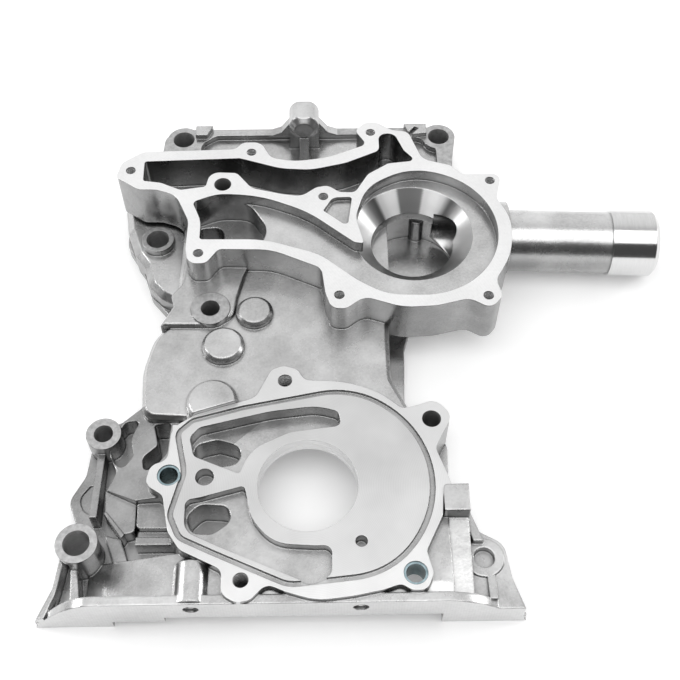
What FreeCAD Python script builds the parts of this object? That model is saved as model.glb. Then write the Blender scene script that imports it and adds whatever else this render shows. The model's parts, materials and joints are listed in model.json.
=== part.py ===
import FreeCAD
import Part
import os
from math import atan2, cos, hypot, pi, radians, sin, tan

V = FreeCAD.Vector

# Frame: crankshaft axis through the origin, oil-pump face at height 0, +Y towards the cylinder head.
# Heights of the main planes, millimetres.
water_face = 16.0
pump_face = 0.0
case_face = -1.5
plateau_face = 1.2
head_rim_face = -7.0
top_floor = -10.5
ear_face = -7.0
rear_face = -28.0

# Plan limits.
head_y = 227.0
pan_y = -53.5

# Round pads on the chain case.
pad_face = 2.6
pad_edge = 1.7

# Wall thicknesses.
case_wall = 4.5
side_wall = 5.0
flange_wall = 6.0
pump_plate = 9.0

# Crankshaft opening.
crank_radius = 22.5

# Water-pump cavity.
pump_x = 55.2
pump_y = 132.0
volute_radius = 40.6
volute_floor = 9.0
cone_x = 53.6
cone_y = 136.4
cone_outer_radius = 30.5
cone_inner_radius = 21.1
channel_floor = -4.0
chamber_floor = -24.0
chamber_roof = -5.0
chamber_radius = 24.0
chamber_wall_x = 41.5
chamber_boss = (58.0, 161.6, 4.2)
chamber_boss_top = -9.0
outlet_floor = -4.6
water_wall_depth = 26.0

# Hose neck.
neck_x = 100.0
neck_y = 146.2
neck_z = -10.0
neck_tilt = -2.6
neck_radius = 16.1
neck_bore = 13.4
bore_start = 65.5
collar_radius = 17.3
collar_start = 157.5
neck_end = 181.7
collar_round = 2.2

# Threaded and clearance holes.
m6_tap = 2.55
m8_tap = 3.4
m8_tap_depth = 20.0
m8_clear = 4.4
m10_clear = 5.9
dowel_seat = 5.25
sleeve_bore = 4.15
sleeve_length = 12.0
sleeve_sink = 0.6

# Sealing groove in the oil-pump face.
groove_half_width = 1.3
groove_depth = 1.6

# Bay left of the oil pump.
bay_floor = -21.0
bay_wall_low = -11.5
bay_wall_high = -5.4
plate_face = -12.4
plate_step = 0.8
trough_depth = 3.0

# Lug on the head face.
lug_x = -2.2
lug_z = 6.4
lug_radius = 8.2
lug_length = 12.0
lug_flat = 7.4
lug_bevel = 3.0

# Ports in the oil-pump face.
upper_port_depth = 8.0
lower_port_depth = 5.0
port_wall = 3.5
oval_depth = 22.0


def rounded(points, z):
    """Closed wire at height z through corners (x, y, radius), each corner an arc tangent to both sides."""
    n = len(points)
    spans = []
    for i in range(n):
        x, y, r = points[i]
        ax, ay = points[i - 1][:2]
        bx, by = points[(i + 1) % n][:2]
        la = hypot(ax - x, ay - y)
        lb = hypot(bx - x, by - y)
        ua = ((ax - x) / la, (ay - y) / la)
        ub = ((bx - x) / lb, (by - y) / lb)
        turn = atan2(abs(ua[0] * ub[1] - ua[1] * ub[0]), ua[0] * ub[0] + ua[1] * ub[1])
        if r <= 0 or pi - turn < 0.01:
            spans.append((V(x, y, z), V(x, y, z), V(x, y, z)))
            continue
        t = min(r / tan(turn / 2), la / 2, lb / 2)
        r = t * tan(turn / 2)
        mx, my = ua[0] + ub[0], ua[1] + ub[1]
        m = hypot(mx, my)
        away = r / sin(turn / 2) - r
        spans.append(
            (
                V(x + ua[0] * t, y + ua[1] * t, z),
                V(x + mx / m * away, y + my / m * away, z),
                V(x + ub[0] * t, y + ub[1] * t, z),
            )
        )
    edges = []
    for i in range(n):
        start, middle, end = spans[i]
        if start.distanceToPoint(end) > 1e-6:
            edges.append(Part.Arc(start, middle, end).toShape())
        following = spans[(i + 1) % n][0]
        if end.distanceToPoint(following) > 1e-6:
            edges.append(Part.makeLine(end, following))
    return Part.Wire(Part.__sortEdges__(edges))


def arc_corners(x, y, r, start, stop, count):
    """Corners of the polygon that touches a circle, so that rounding them by r gives the circle's arc."""
    step = (stop - start) / count
    reach = r / cos(radians(abs(step) / 2))
    turns = [radians(start + step * (i + 0.5)) for i in range(count)]
    return [(x + reach * cos(a), y + reach * sin(a), r) for a in turns]


def prism(points, z0, z1):
    return Part.Face(rounded(points, z0)).extrude(V(0, 0, z1 - z0))


def post(x, y, r, z0, z1):
    return Part.makeCylinder(r, z1 - z0, V(x, y, z0))


def box(x0, x1, y0, y1, z0, z1):
    return Part.makeBox(x1 - x0, y1 - y0, z1 - z0, V(x0, y0, z0))


def side_prism(points, x0, x1):
    """Prism along X of a (y, z) outline."""
    corners = [V(x0, y, z) for y, z in points]
    return Part.Face(Part.makePolygon(corners + corners[:1])).extrude(V(x1 - x0, 0, 0))


def top_edges(shape, z, keep=lambda c: True):
    found = []
    for edge in shape.Edges:
        b = edge.BoundBox
        if abs(b.ZMin - z) < 1e-4 and abs(b.ZMax - z) < 1e-4 and keep(b.Center):
            found.append(edge)
    return found


def sloped_top(shape, z, r, keep=lambda c: True):
    return shape.makeChamfer(r, top_edges(shape, z, keep))


WATER_OUTLINE = (
    [
        (-99.6, 170.2, 4.0),
        (-97.4, 180.3, 5.0),
        (-87.0, 188.0, 7.0),
        (-38.0, 189.2, 5.0),
        (-34.4, 194.2, 4.5),
        (-24.8, 194.0, 6.0),
        (-19.4, 182.8, 7.0),
        (-7.0, 179.9, 40.0),
        (11.0, 182.6, 40.0),
        (31.6, 191.8, 3.0),
        (25.6, 202.0, 3.5),
        (31.4, 208.6, 6.0),
        (38.5, 207.4, 6.0),
        (45.0, 202.2, 8.0),
        (54.0, 200.8, 5.0),
        (60.4, 180.6, 8.0),
        (75.4, 175.9, 8.0),
        (81.4, 169.3, 4.0),
        (101.0, 169.8, 4.0),
        (97.0, 152.8, 5.0),
    ]
    + arc_corners(56.0, 132.0, 46.4, 22, -32, 2)
    + [
        (91.6, 100.5, 8.0),
        (94.2, 91.0, 5.0),
        (88.0, 83.4, 5.0),
        (78.0, 89.6, 8.0),
        (62.0, 85.6, 30.0),
        (46.0, 84.8, 30.0),
        (27.5, 91.4, 8.0),
        (18.6, 84.4, 5.0),
        (11.6, 84.9, 5.0),
        (8.8, 94.0, 8.0),
        (7.0, 109.0, 6.0),
        (-18.0, 120.9, 30.0),
        (-44.0, 121.6, 4.0),
        (-49.8, 112.8, 4.5),
        (-58.6, 112.8, 5.0),
        (-60.3, 122.0, 5.0),
        (-60.0, 140.0, 12.0),
        (-67.4, 157.4, 12.0),
        (-78.0, 161.4, 10.0),
        (-87.4, 161.6, 7.0),
    ]
)

TOP_CHANNEL = [
    (-85.6, 181.2, 1.5),
    (-35.6, 182.8, 4.0),
    (-14.0, 175.2, 30.0),
    (2.0, 174.0, 30.0),
    (20.0, 178.6, 20.0),
    (38.0, 187.2, 4.0),
    (38.0, 199.4, 4.5),
    (46.4, 199.8, 5.0),
    (51.0, 187.4, 6.0),
    (57.0, 179.6, 2.0),
    (42.5, 177.8, 5.0),
    (31.6, 170.4, 8.0),
    (24.6, 157.8, 4.0),
    (16.5, 158.2, 5.0),
    (10.6, 162.8, 5.0),
    (4.6, 161.6, 5.0),
    (-3.0, 155.6, 8.0),
    (-13.0, 157.2, 15.0),
    (-28.8, 161.6, 8.0),
    (-36.8, 172.2, 4.0),
    (-50.6, 173.0, 7.0),
    (-52.6, 163.0, 2.0),
    (-65.6, 160.9, 4.0),
    (-76.0, 166.0, 6.0),
    (-85.3, 167.5, 1.5),
]

VOLUTE = (
    [
        (-58.8, 152.6, 2.5),
        (-46.0, 158.2, 30.0),
        (-24.0, 156.2, 60.0),
        (0.0, 145.4, 60.0),
        (23.4, 125.0, 4.0),
        (28.2, 124.2, 0.9),
        (24.4, 141.6, 14.0),
        (30.2, 161.6, 24.0),
    ]
    + arc_corners(pump_x, pump_y, volute_radius, 112, -90, 5)
    + [
        (38.0, 92.4, 30.0),
        (24.0, 101.6, 30.0),
        (6.0, 117.6, 30.0),
        (-22.0, 127.4, 50.0),
        (-53.8, 127.9, 1.5),
        (-53.8, 140.0, 20.0),
    ]
)

# Deep left end of the cavity, where the water leaves, and its port to the block.
OUTLET = [
    (-58.8, 152.6, 2.5),
    (-46.0, 158.0, 20.0),
    (-30.0, 157.0, 10.0),
    (-20.0, 140.0, 12.0),
    (-24.0, 127.6, 6.0),
    (-53.8, 127.9, 1.5),
    (-53.8, 140.0, 20.0),
]

OUTLET_PORT = [
    (-58.0, 151.6, 3.0),
    (-45.0, 153.0, 5.0),
    (-42.0, 130.0, 5.0),
    (-53.0, 130.0, 3.0),
]

CORNER_POCKET = [
    (8.0, 145.8, 1.2),
    (13.0, 154.6, 5.0),
    (23.0, 154.8, 1.5),
    (20.6, 137.0, 2.0),
    (18.0, 137.0, 1.5),
]

PUMP_OUTLINE = (
    [
        (-17.4, 60.4, 5.0),
        (-11.8, 62.8, 5.0),
        (-5.0, 60.6, 5.0),
        (-1.6, 54.4, 5.0),
    ]
    + arc_corners(6.6, 0.6, 53.4, 88, 52, 2)
    + [
        (43.6, 38.4, 4.0),
        (50.0, 39.8, 8.0),
        (59.6, 43.0, 6.5),
        (67.0, 34.4, 6.5),
        (61.4, 24.4, 8.0),
        (57.9, 17.6, 5.0),
        (64.0, -0.4, 1.0),
        (60.3, -2.0, 1.0),
        (59.0, -15.6, 3.0),
        (50.9, -32.0, 4.0),
        (53.4, -42.0, 5.0),
        (50.4, -49.4, 5.0),
        (44.0, -49.4, 5.0),
        (39.4, -46.6, 4.0),
        (32.0, -49.0, 10.0),
        (20.0, -51.4, 25.0),
        (4.0, -53.4, 30.0),
        (-9.0, -49.4, 15.0),
        (-17.4, -45.8, 5.0),
        (-24.0, -52.7, 5.0),
        (-30.0, -53.8, 5.5),
        (-36.4, -50.0, 5.5),
        (-36.4, -39.2, 5.0),
        (-55.0, -30.0, 8.0),
        (-60.6, -21.6, 8.0),
        (-64.0, -4.2, 5.0),
        (-72.4, 1.2, 5.5),
        (-70.6, 10.6, 5.5),
        (-63.2, 13.0, 5.0),
        (-62.4, 29.6, 9.0),
        (-52.0, 36.4, 15.0),
        (-24.4, 45.2, 8.0),
    ]
)

GROOVE_LINE = (
    arc_corners(6.9, 0.7, 48.6, 92, -74, 5)
    + [
        (-8.0, -46.4, 15.0),
        (-41.0, -31.4, 30.0),
        (-55.6, -24.4, 7.0),
        (-60.4, -13.8, 8.0),
        (-55.2, 7.0, 14.0),
        (-59.6, 27.0, 5.0),
        (-53.0, 33.4, 5.0),
        (-30.0, 39.8, 30.0),
    ]
)

UPPER_PORT = [
    (-54.0, 24.6, 4.0),
    (-49.8, 29.8, 4.0),
    (-18.0, 37.7, 60.0),
    (4.0, 40.4, 40.0),
    (14.0, 37.4, 3.0),
    (15.6, 29.6, 3.0),
    (-8.0, 26.6, 20.0),
    (-25.6, 18.0, 20.0),
    (-30.6, 5.6, 1.5),
    (-51.6, 14.8, 4.0),
]

LOWER_PORT = [
    (-54.0, -6.6, 5.0),
    (-48.0, -5.6, 8.0),
    (-28.0, 0.0, 2.0),
    (-24.6, -16.0, 20.0),
    (-15.0, -27.6, 20.0),
    (3.0, -28.9, 12.0),
    (10.6, -28.8, 5.0),
    (10.4, -42.6, 5.0),
    (1.0, -46.2, 6.0),
    (-38.0, -29.0, 30.0),
    (-53.6, -21.6, 8.0),
]

CASE_OUTLINE = [
    (-77.2, 36.6, 7.0),
    (-79.0, 62.0, 40.0),
    (-74.6, 82.0, 20.0),
    (-66.0, 90.0, 6.0),
    (-64.0, 180.0, 0.0),
    (60.0, 180.0, 0.0),
    (60.0, 118.0, 0.0),
    (39.6, 92.0, 6.0),
    (39.4, 56.0, 12.0),
    (47.6, 38.6, 0.0),
    (44.0, 10.0, 0.0),
    (-52.0, 10.0, 0.0),
    (-56.0, 35.0, 0.0),
]

PLATEAU = [
    (-72.0, 86.6, 0.0),
    (-47.0, 86.0, 9.0),
    (-36.6, 91.0, 9.0),
    (-34.8, 104.0, 10.0),
    (-30.6, 121.5, 0.0),
    (-20.0, 150.0, 0.0),
    (-58.0, 150.0, 0.0),
    (-62.0, 112.0, 6.0),
    (-68.0, 104.0, 0.0),
    (-66.5, 98.0, 0.0),
]

REAR_OUTLINE = [
    (-80.5, 224.0, 9.0),
    (-70.0, head_y, 3.0),
    (72.0, head_y, 3.0),
    (83.0, 224.0, 9.0),
    (80.0, 190.0, 10.0),
    (78.0, 120.0, 10.0),
    (54.0, 106.0, 10.0),
    (48.2, 86.0, 20.0),
    (46.6, 52.0, 8.0),
    (58.0, 42.5, 8.0),
    (66.0, 30.0, 8.0),
    (65.0, 6.0, 4.0),
    (73.0, -2.0, 4.0),
    (76.0, -18.0, 5.0),
    (84.0, -21.0, 6.0),
    (88.8, -31.0, 8.0),
    (88.0, -42.0, 8.0),
    (95.0, pan_y, 0.8),
    (-119.0, pan_y, 0.8),
    (-109.6, -40.0, 10.0),
    (-108.0, -24.0, 8.0),
    (-105.0, -6.0, 5.0),
    (-110.6, 3.0, 8.0),
    (-104.0, 16.0, 8.0),
    (-102.0, 26.0, 10.0),
    (-101.0, 40.0, 8.0),
    (-84.0, 46.0, 10.0),
    (-79.4, 60.0, 8.0),
    (-74.0, 84.0, 8.0),
    (-72.0, 108.0, 5.0),
    (-82.5, 121.0, 8.0),
    (-88.0, 138.0, 8.0),
    (-97.6, 154.0, 8.0),
    (-99.0, 180.0, 10.0),
    (-84.0, 192.0, 10.0),
]

OUTLET_BODY = [
    (-99.4, 174.0, 6.0),
    (-97.0, 158.0, 12.0),
    (-91.4, 142.0, 12.0),
    (-86.0, 134.0, 8.0),
    (-83.0, 122.0, 10.0),
    (-76.0, 114.0, 8.0),
    (-62.0, 106.0, 5.0),
    (-50.0, 112.0, 3.0),
    (-50.0, 186.0, 3.0),
    (-87.0, 187.6, 6.0),
    (-97.2, 179.6, 5.0),
]

TOP_CASE = [
    (-80.5, 222.0, 9.0),
    (-72.0, head_y, 0.0),
    (74.0, head_y, 0.0),
    (83.0, 222.0, 9.0),
    (79.0, 196.0, 10.0),
    (66.0, 160.0, 0.0),
    (-66.0, 160.0, 0.0),
    (-82.0, 196.0, 10.0),
]

TOP_RECESS = [
    (-60.0, 168.0, 0.0),
    (-60.2, 216.0, 8.0),
    (-52.0, 222.2, 6.0),
    (50.0, 222.2, 5.0),
    (57.0, 219.0, 4.0),
    (62.0, 219.4, 5.0),
    (71.4, 211.6, 6.0),
    (71.6, 190.0, 6.0),
    (58.0, 168.0, 0.0),
]

# Hollow behind the front wall, opened to the cylinder head and to the oil pan.
UPPER_SPACE = [
    (-58.0, head_y + 4.0, 0.0),
    (-58.0, 200.0, 0.0),
    (-32.0, 182.0, 0.0),
    (22.0, 182.0, 0.0),
    (60.0, 200.0, 0.0),
    (60.0, head_y + 4.0, 0.0),
]

MIDDLE_SPACE = [
    (-46.0, 198.0, 0.0),
    (-32.0, 176.0, 0.0),
    (-32.0, 112.0, 0.0),
    (22.0, 112.0, 0.0),
    (23.0, 168.0, 0.0),
    (46.0, 198.0, 0.0),
]

CASE_SPACE = [
    (-31.0, 122.0, 0.0),
    (-34.0, 86.0, 0.0),
    (-62.0, 80.0, 10.0),
    (-73.0, 68.0, 12.0),
    (-71.8, 42.0, 0.0),
    (-50.0, 34.0, 0.0),
    (38.0, 34.0, 0.0),
    (34.6, 60.0, 10.0),
    (34.6, 88.0, 0.0),
    (24.0, 100.0, 0.0),
    (21.0, 122.0, 0.0),
]

CRANK_SPACE = [
    (-54.0, 40.0, 0.0),
    (-54.0, -20.0, 0.0),
    (-48.0, -34.0, 0.0),
    (-48.0, -46.5, 0.0),
    (52.0, -46.5, 0.0),
    (46.0, -8.0, 0.0),
    (48.0, 24.0, 0.0),
    (38.0, 40.0, 0.0),
]

PAN_SPACE = [
    (-85.0, pan_y - 2.0, 0.0),
    (-85.0, -42.0, 0.0),
    (-76.0, -31.0, 0.0),
    (50.0, -31.0, 0.0),
    (58.0, -42.0, 0.0),
    (58.0, pan_y - 2.0, 0.0),
]

PAN_INNER_SPACE = [
    (-62.0, pan_y - 2.0, 0.0),
    (-62.0, -32.0, 0.0),
    (50.0, -32.0, 0.0),
    (58.0, -42.0, 0.0),
    (58.0, pan_y - 2.0, 0.0),
]

# Bay left of the oil pump: its floor, its sloping wall and the pockets cast into both.
BAY_FLOOR = [
    (-106.0, -8.0, 0.0),
    (-110.6, 3.0, 8.0),
    (-104.0, 16.0, 8.0),
    (-102.0, 40.0, 8.0),
    (-86.0, 46.0, 8.0),
    (-60.0, 44.0, 0.0),
    (-50.0, 0.0, 0.0),
    (-50.0, -30.0, 0.0),
    (-97.0, -30.0, 0.0),
]

LOBE_RECESS = [
    (-101.6, 11.0, 0.0),
    (-106.2, 4.5, 6.0),
    (-103.6, -1.5, 4.0),
    (-98.6, -4.6, 0.0),
    (-98.6, 11.0, 0.0),
]

BAY_WALL = [
    (-91.4, 3.6, 0.0),
    (-87.4, 12.0, 6.0),
    (-92.0, 22.0, 6.0),
    (-93.0, 34.0, 0.0),
    (-79.0, 45.0, 0.0),
    (-60.0, 42.0, 0.0),
    (-60.0, -2.0, 0.0),
    (-77.8, -2.8, 0.0),
]

BAY_POCKET = [
    (-92.6, 27.0, 2.0),
    (-90.4, 18.4, 4.0),
    (-85.6, 13.4, 4.0),
    (-80.4, 20.0, 4.0),
    (-82.6, 29.0, 6.0),
    (-78.6, 38.6, 2.0),
    (-86.0, 38.6, 3.0),
]

CRESCENT_POCKET = [
    (-63.6, 35.4, 1.5),
    (-72.0, 35.4, 1.0),
    (-69.4, 24.4, 2.5),
    (-76.4, 18.6, 4.0),
    (-75.0, 11.0, 3.5),
    (-69.4, 13.6, 5.0),
    (-64.4, 19.6, 5.0),
]

PLATE_LEFT = [
    (-92.4, 4.4, 0.0),
    (-77.6, -2.4, 0.0),
    (-77.2, -16.2, 2.5),
    (-82.4, -17.2, 2.5),
    (-91.4, -7.4, 0.0),
]

PLATE_RIGHT = [
    (-77.0, -2.4, 0.0),
    (-58.0, -1.6, 0.0),
    (-58.0, -15.0, 0.0),
    (-76.4, -14.8, 2.0),
]

HORN_POCKET = [
    (-108.0, -26.0, 0.0),
    (-103.6, -27.0, 0.0),
    (-101.6, -49.2, 0.0),
    (-111.6, -50.2, 0.0),
    (-109.6, -40.0, 0.0),
]

BAY_TROUGH_BLOCK = [
    (-91.5, -15.5, 0.0),
    (-84.0, -17.5, 0.0),
    (-79.5, -29.5, 0.0),
    (-86.0, -29.5, 0.0),
]

BAY_RIDGE = [
    (-92.0, -7.0, 0.0),
    (-90.8, -6.4, 0.0),
    (-81.6, -17.4, 0.0),
    (-82.8, -19.4, 0.0),
]

# Lumps on the head rim beside the ears, the slot cast into the right one.
LUMP_LEFT = [
    (-63.4, head_y, 0.0),
    (-63.4, 220.0, 0.0),
    (-57.0, 220.0, 0.0),
    (-54.0, head_y, 0.0),
]

LUMP_RIGHT = [
    (54.0, head_y, 0.0),
    (57.0, 219.0, 0.0),
    (66.5, 220.0, 0.0),
    (66.5, head_y, 0.0),
]

LUMP_SLOT = [
    (55.0, 219.0, 0.0),
    (57.4, 218.0, 0.0),
    (62.4, 223.6, 0.0),
    (60.0, 225.0, 0.0),
]

# Front of the wall above the oil pan, and the ribs beside its ends.
RIGHT_SHELF = [
    (56.0, -4.0, 0.0),
    (72.0, -6.0, 2.0),
    (75.6, -18.0, 4.0),
    (86.4, -24.0, 8.0),
    (88.6, -40.0, 6.0),
    (93.0, pan_y, 0.0),
    (56.0, pan_y, 0.0),
]

HORN_RIB_INNER = [
    (-104.2, -28.0, 0.0),
    (-101.4, -28.0, 0.0),
    (-97.4, -50.0, 0.0),
    (-101.8, -50.0, 0.0),
]

HORN_RIB_OUTER = [
    (-109.8, -24.0, 0.0),
    (-107.8, -24.0, 0.0),
    (-109.2, -40.0, 8.0),
    (-113.6, pan_y, 0.0),
    (-116.6, pan_y, 0.0),
    (-111.4, -40.0, 8.0),
]

RIGHT_RIB = [
    (68.0, -8.0, 0.0),
    (71.4, -8.0, 0.0),
    (77.0, -24.0, 0.0),
    (72.6, -24.0, 0.0),
]

# Profiles (x, z) of the sealing strip and of the skirt wall above it.
STRIP = [
    (-119.0, rear_face),
    (-116.4, -22.0),
    (-109.0, -13.6),
    (-102.0, -7.2),
    (-96.0, -3.6),
    (-88.0, -2.6),
    (59.0, -2.6),
    (68.0, -4.6),
    (76.4, -9.0),
    (84.0, -15.4),
    (92.0, -22.4),
    (95.0, rear_face),
]

SKIRT = [
    (-97.0, rear_face),
    (-97.0, -20.4),
    (-90.0, -18.4),
    (-60.0, -8.6),
    (-46.0, -5.4),
    (-30.0, -5.0),
    (-30.0, rear_face),
]

# Round pads on the chain case: x, y, radius.
PADS = [(-40.9, 74.5, 10.2), (-26.3, 94.0, 9.0), (-44.6, 42.8, 12.0)]

# Passages behind the two ports, each with the wall that keeps it apart from the crank case.
UPPER_OVAL = [
    (-53.0, 17.0, 5.0),
    (-52.0, 25.0, 5.0),
    (-42.0, 27.5, 6.0),
    (-31.0, 24.0, 7.0),
    (-31.0, 15.0, 6.0),
    (-42.0, 13.0, 5.0),
]

UPPER_OVAL_WALL = [
    (-58.0, 12.0, 0.0),
    (-58.0, 32.0, 0.0),
    (-26.0, 32.0, 0.0),
    (-26.0, 9.0, 0.0),
]

LOWER_OVAL = [
    (-54.0, -13.0, 5.0),
    (-51.0, -20.5, 5.0),
    (-42.0, -21.0, 6.0),
    (-33.5, -15.0, 6.0),
    (-35.0, -7.5, 6.0),
    (-48.0, -6.5, 6.0),
]

LOWER_OVAL_WALL = [
    (-58.0, -25.0, 0.0),
    (-58.0, -2.5, 0.0),
    (-29.0, -2.5, 0.0),
    (-29.0, -25.0, 0.0),
]

# Tapped holes of the water pump: x, y, depth.
WATER_TAPS = [
    (-92.3, 174.9, 13.2),
    (-29.6, 187.0, 14.4),
    (33.8, 200.6, 16.75),
    (8.2, 155.3, 12.6),
    (-53.9, 119.2, 18.1),
    (15.5, 92.5, 17.2),
    (87.2, 91.1, 15.25),
    (94.7, 165.0, 13.75),
]
WATER_THROUGH = (-43.8, 164.4)
PUMP_TAPS = [(-10.8, 54.4), (-28.2, -44.0)]
PUMP_THROUGH = (57.1, 32.7)
PAN_HOLES = (-49.6, 22.5)
pan_hole_z = -8.6
pan_boss = 7.8
pan_boss_length = 20.0
pan_tap_depth = 19.0
lip_width = 4.2
skirt_width = 24.0
DOWELS = {"left": (-62.1, 5.6), "right": (45.8, -41.8)}
LAND_HOLE = (-46.0, 4.4)
BLIND_HOLE = (23.2, -27.2)

# Bolt bosses through the cover: x, y, outer radius, hole radius, top height.
BOSSES = {
    "head_left": (-70.2, 219.4, 9.2, m10_clear, ear_face),
    "head_right": (73.4, 219.8, 9.2, m10_clear, ear_face),
    "outlet": (-79.4, 148.2, 8.4, m10_clear, -8.0),
    "plateau": (-48.0, 95.6, 9.6, 4.7, plateau_face + 1.0),
    "left": (-95.4, 31.5, 8.2, 4.5, -8.0),
    "pan_left": (-100.2, -25.0, 9.2, m10_clear, -3.0),
    "pan_right": (77.0, -30.6, 8.8, 4.6, -12.0),
}


def water_pump_body():
    """Walls of the water pump and its outlet duct."""
    body = prism(WATER_OUTLINE, water_face - water_wall_depth, water_face)
    duct = sloped_top(prism(OUTLET_BODY, rear_face, -12.0), -12.0, 3.6, lambda c: c.y < 160 and c.x < -60)
    chamber = post(cone_x, cone_y, 28.0, rear_face + 2.0, 0.0)
    shoulder = Part.makeCylinder(19.0, 70.0, V(34.0, neck_y + 0.6, neck_z + 1.0), V(1, 0, 0))
    column = post(-53.9, 119.2, 6.4, -12.0, 10.0)
    return [body, duct, chamber, shoulder, column]


def hose_neck():
    """Tube with a plain machined collar for the inlet hose."""
    axis = V(1, 0, 0)
    tube = Part.makeCylinder(neck_radius, collar_start - 84.0, V(84.0, 0, 0), axis)
    barrel = neck_end - collar_round
    collar = Part.makeCylinder(collar_radius, barrel - collar_start, V(collar_start, 0, 0), axis)
    mouth = Part.makeCone(collar_radius, collar_radius - collar_round, collar_round, V(barrel, 0, 0), axis)
    neck = tube.fuse([collar, mouth])
    neck.translate(V(-neck_x, 0, 0))
    neck.rotate(V(0, 0, 0), V(0, 0, 1), neck_tilt)
    neck.translate(V(neck_x, neck_y, neck_z))
    return neck


def neck_passage():
    bore = Part.makeCylinder(neck_bore, neck_end - bore_start + 1.0, V(bore_start - neck_x, 0, 0), V(1, 0, 0))
    bore.rotate(V(0, 0, 0), V(0, 0, 1), neck_tilt)
    bore.translate(V(neck_x, neck_y, neck_z))
    return bore


def head_lug():
    """Forward lug on the head face that takes a bolt from above."""
    x, z, r = lug_x, lug_z, lug_radius
    back = head_y - lug_length
    flat = box(x - r, x + r, back - lug_bevel, head_y + 1.0, z + lug_flat, z + r)
    barrel = Part.makeCylinder(r, lug_length, V(x, back, z), V(0, 1, 0)).cut(flat)
    dome = Part.makeCone(r - lug_bevel, r, lug_bevel, V(x, back - lug_bevel, z), V(0, 1, 0)).cut(flat)
    web = box(x - r, x + r, back, head_y, rear_face + 10.0, z)
    profile = [V(x + side * reach, head_y, head_rim_face + rise)
               for side, reach, rise in ((-1, 21.0, -1.0), (-1, 13.0, 2.2), (-1, r, 9.0),
                                         (1, r, 9.0), (1, 13.0, 2.2), (1, 21.0, -1.0))]
    flare = Part.Face(Part.makePolygon(profile + profile[:1])).extrude(V(0, -5.0, 0))
    gusset = side_prism([(203.5, top_floor - 1.0), (206.0, top_floor + 2.0), (back - 2.5, z - 6.0),
                         (back + 3.0, z - 6.0), (back + 3.0, top_floor - 1.0)], x - 2.6, x + 2.6)
    return [barrel, dome, web, flare, gusset]


def top_case():
    """Thin upper part of the chain case with the head rim and its two ears."""
    plate = prism(TOP_CASE, rear_face, head_rim_face)
    plate = plate.cut(prism(TOP_RECESS, top_floor, head_rim_face + 1.0))
    lumps = [prism(outline, rear_face, head_rim_face + 3.0) for outline in (LUMP_LEFT, LUMP_RIGHT)]
    return [plate, lumps[0], lumps[1].cut(prism(LUMP_SLOT, -12.0, 0.0))]


def round_pad(x, y, r):
    """Raised round pad with a sloping edge."""
    low = post(x, y, r, case_face - 2.0, pad_face - pad_edge)
    return low.fuse(Part.makeCone(r, r - pad_edge, pad_edge, V(x, y, pad_face - pad_edge)))


def chain_case():
    """Deep front of the chain case with its three round pads."""
    case = prism(CASE_OUTLINE, rear_face, case_face)
    case = sloped_top(case, case_face, 2.0, lambda c: c.x < -58 or 38 < c.x < 46 and 40 < c.y < 92)
    plateau = sloped_top(prism(PLATEAU, rear_face, plateau_face), plateau_face, 1.0,
                          lambda c: c.y < 106 and c.x < -33)
    return [case, plateau] + [round_pad(*pad) for pad in PADS]


def pan_skirt():
    """Front wall above the oil pan with its sealing strip and both horns."""
    corners = [V(x, pan_y, z) for x, z in STRIP]
    edges = [Part.makeLine(corners[i], corners[i + 1]) for i in (-1, 0, 5, 10)]
    for bend in (corners[1:6], corners[6:11]):
        curve = Part.BSplineCurve()
        curve.interpolate(bend)
        edges.append(curve.toShape())
    lip = Part.Face(Part.Wire(Part.__sortEdges__(edges))).extrude(V(0, lip_width, 0))
    skirt = [V(x, pan_y + 1.0, z) for x, z in SKIRT]
    wall = Part.Face(Part.makePolygon(skirt + skirt[:1])).extrude(V(0, skirt_width, 0))
    barrel = Part.makeCylinder(pan_boss, pan_boss_length, V(PAN_HOLES[0], pan_y + 1.0, pan_hole_z), V(0, 1, 0))
    barrel = barrel.makeChamfer(1.8, [max(barrel.Edges, key=lambda e: e.CenterOfMass.y)])
    front = side_prism([(pan_y, rear_face), (pan_y, -6.0), (-44.0, -4.2), (-8.0, -6.0),
                        (-8.0, rear_face)], -34.0, 62.0)
    side = prism(RIGHT_SHELF, rear_face, -13.0)
    slope = side_prism([(-52.0, -12.0), (-50.0, -9.6), (-8.0, -5.6), (-8.0, -16.0), (-52.0, -16.0)],
                       50.0, 71.0)
    return [lip, wall, barrel, front, side, slope]


def left_bay():
    """Sloping wall with two cast pockets, stepped plates and ribs beside the oil-pump face."""
    floor = prism(BAY_FLOOR, rear_face, bay_floor).cut(prism(LOBE_RECESS, rear_face + flange_wall, 0.0))
    slope = [V(x, -6.0, z) for x, z in ((-95.0, bay_wall_low), (-62.0, bay_wall_high), (-62.0, 4.0), (-95.0, 4.0))]
    above = Part.Face(Part.makePolygon(slope + slope[:1])).extrude(V(0, 60.0, 0))
    wall = prism(BAY_WALL, rear_face, 0.0).cut(above)
    wall = wall.cut([prism(BAY_POCKET, bay_floor, 0.0), prism(CRESCENT_POCKET, rear_face + flange_wall, 0.0)])
    plates = [prism(PLATE_LEFT, rear_face, plate_face),
              prism(PLATE_RIGHT, rear_face, plate_face + plate_step)]
    bar = box(-76.4, -58.0, -22.6, -18.8, rear_face, plate_face + plate_step / 2)
    trough = box(-76.4, -58.0, -19.0, -14.6, rear_face, plate_face - trough_depth)
    low = prism(BAY_TROUGH_BLOCK, rear_face, -17.0)
    ridge = prism(BAY_RIDGE, rear_face, plate_face + plate_step)
    rib = side_prism([(24.0, -12.5), (24.0, rear_face), (-10.0, rear_face), (-10.0, -9.6)], -97.8, -94.4)
    return [floor, wall, bar, trough, low, ridge, rib] + plates


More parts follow.
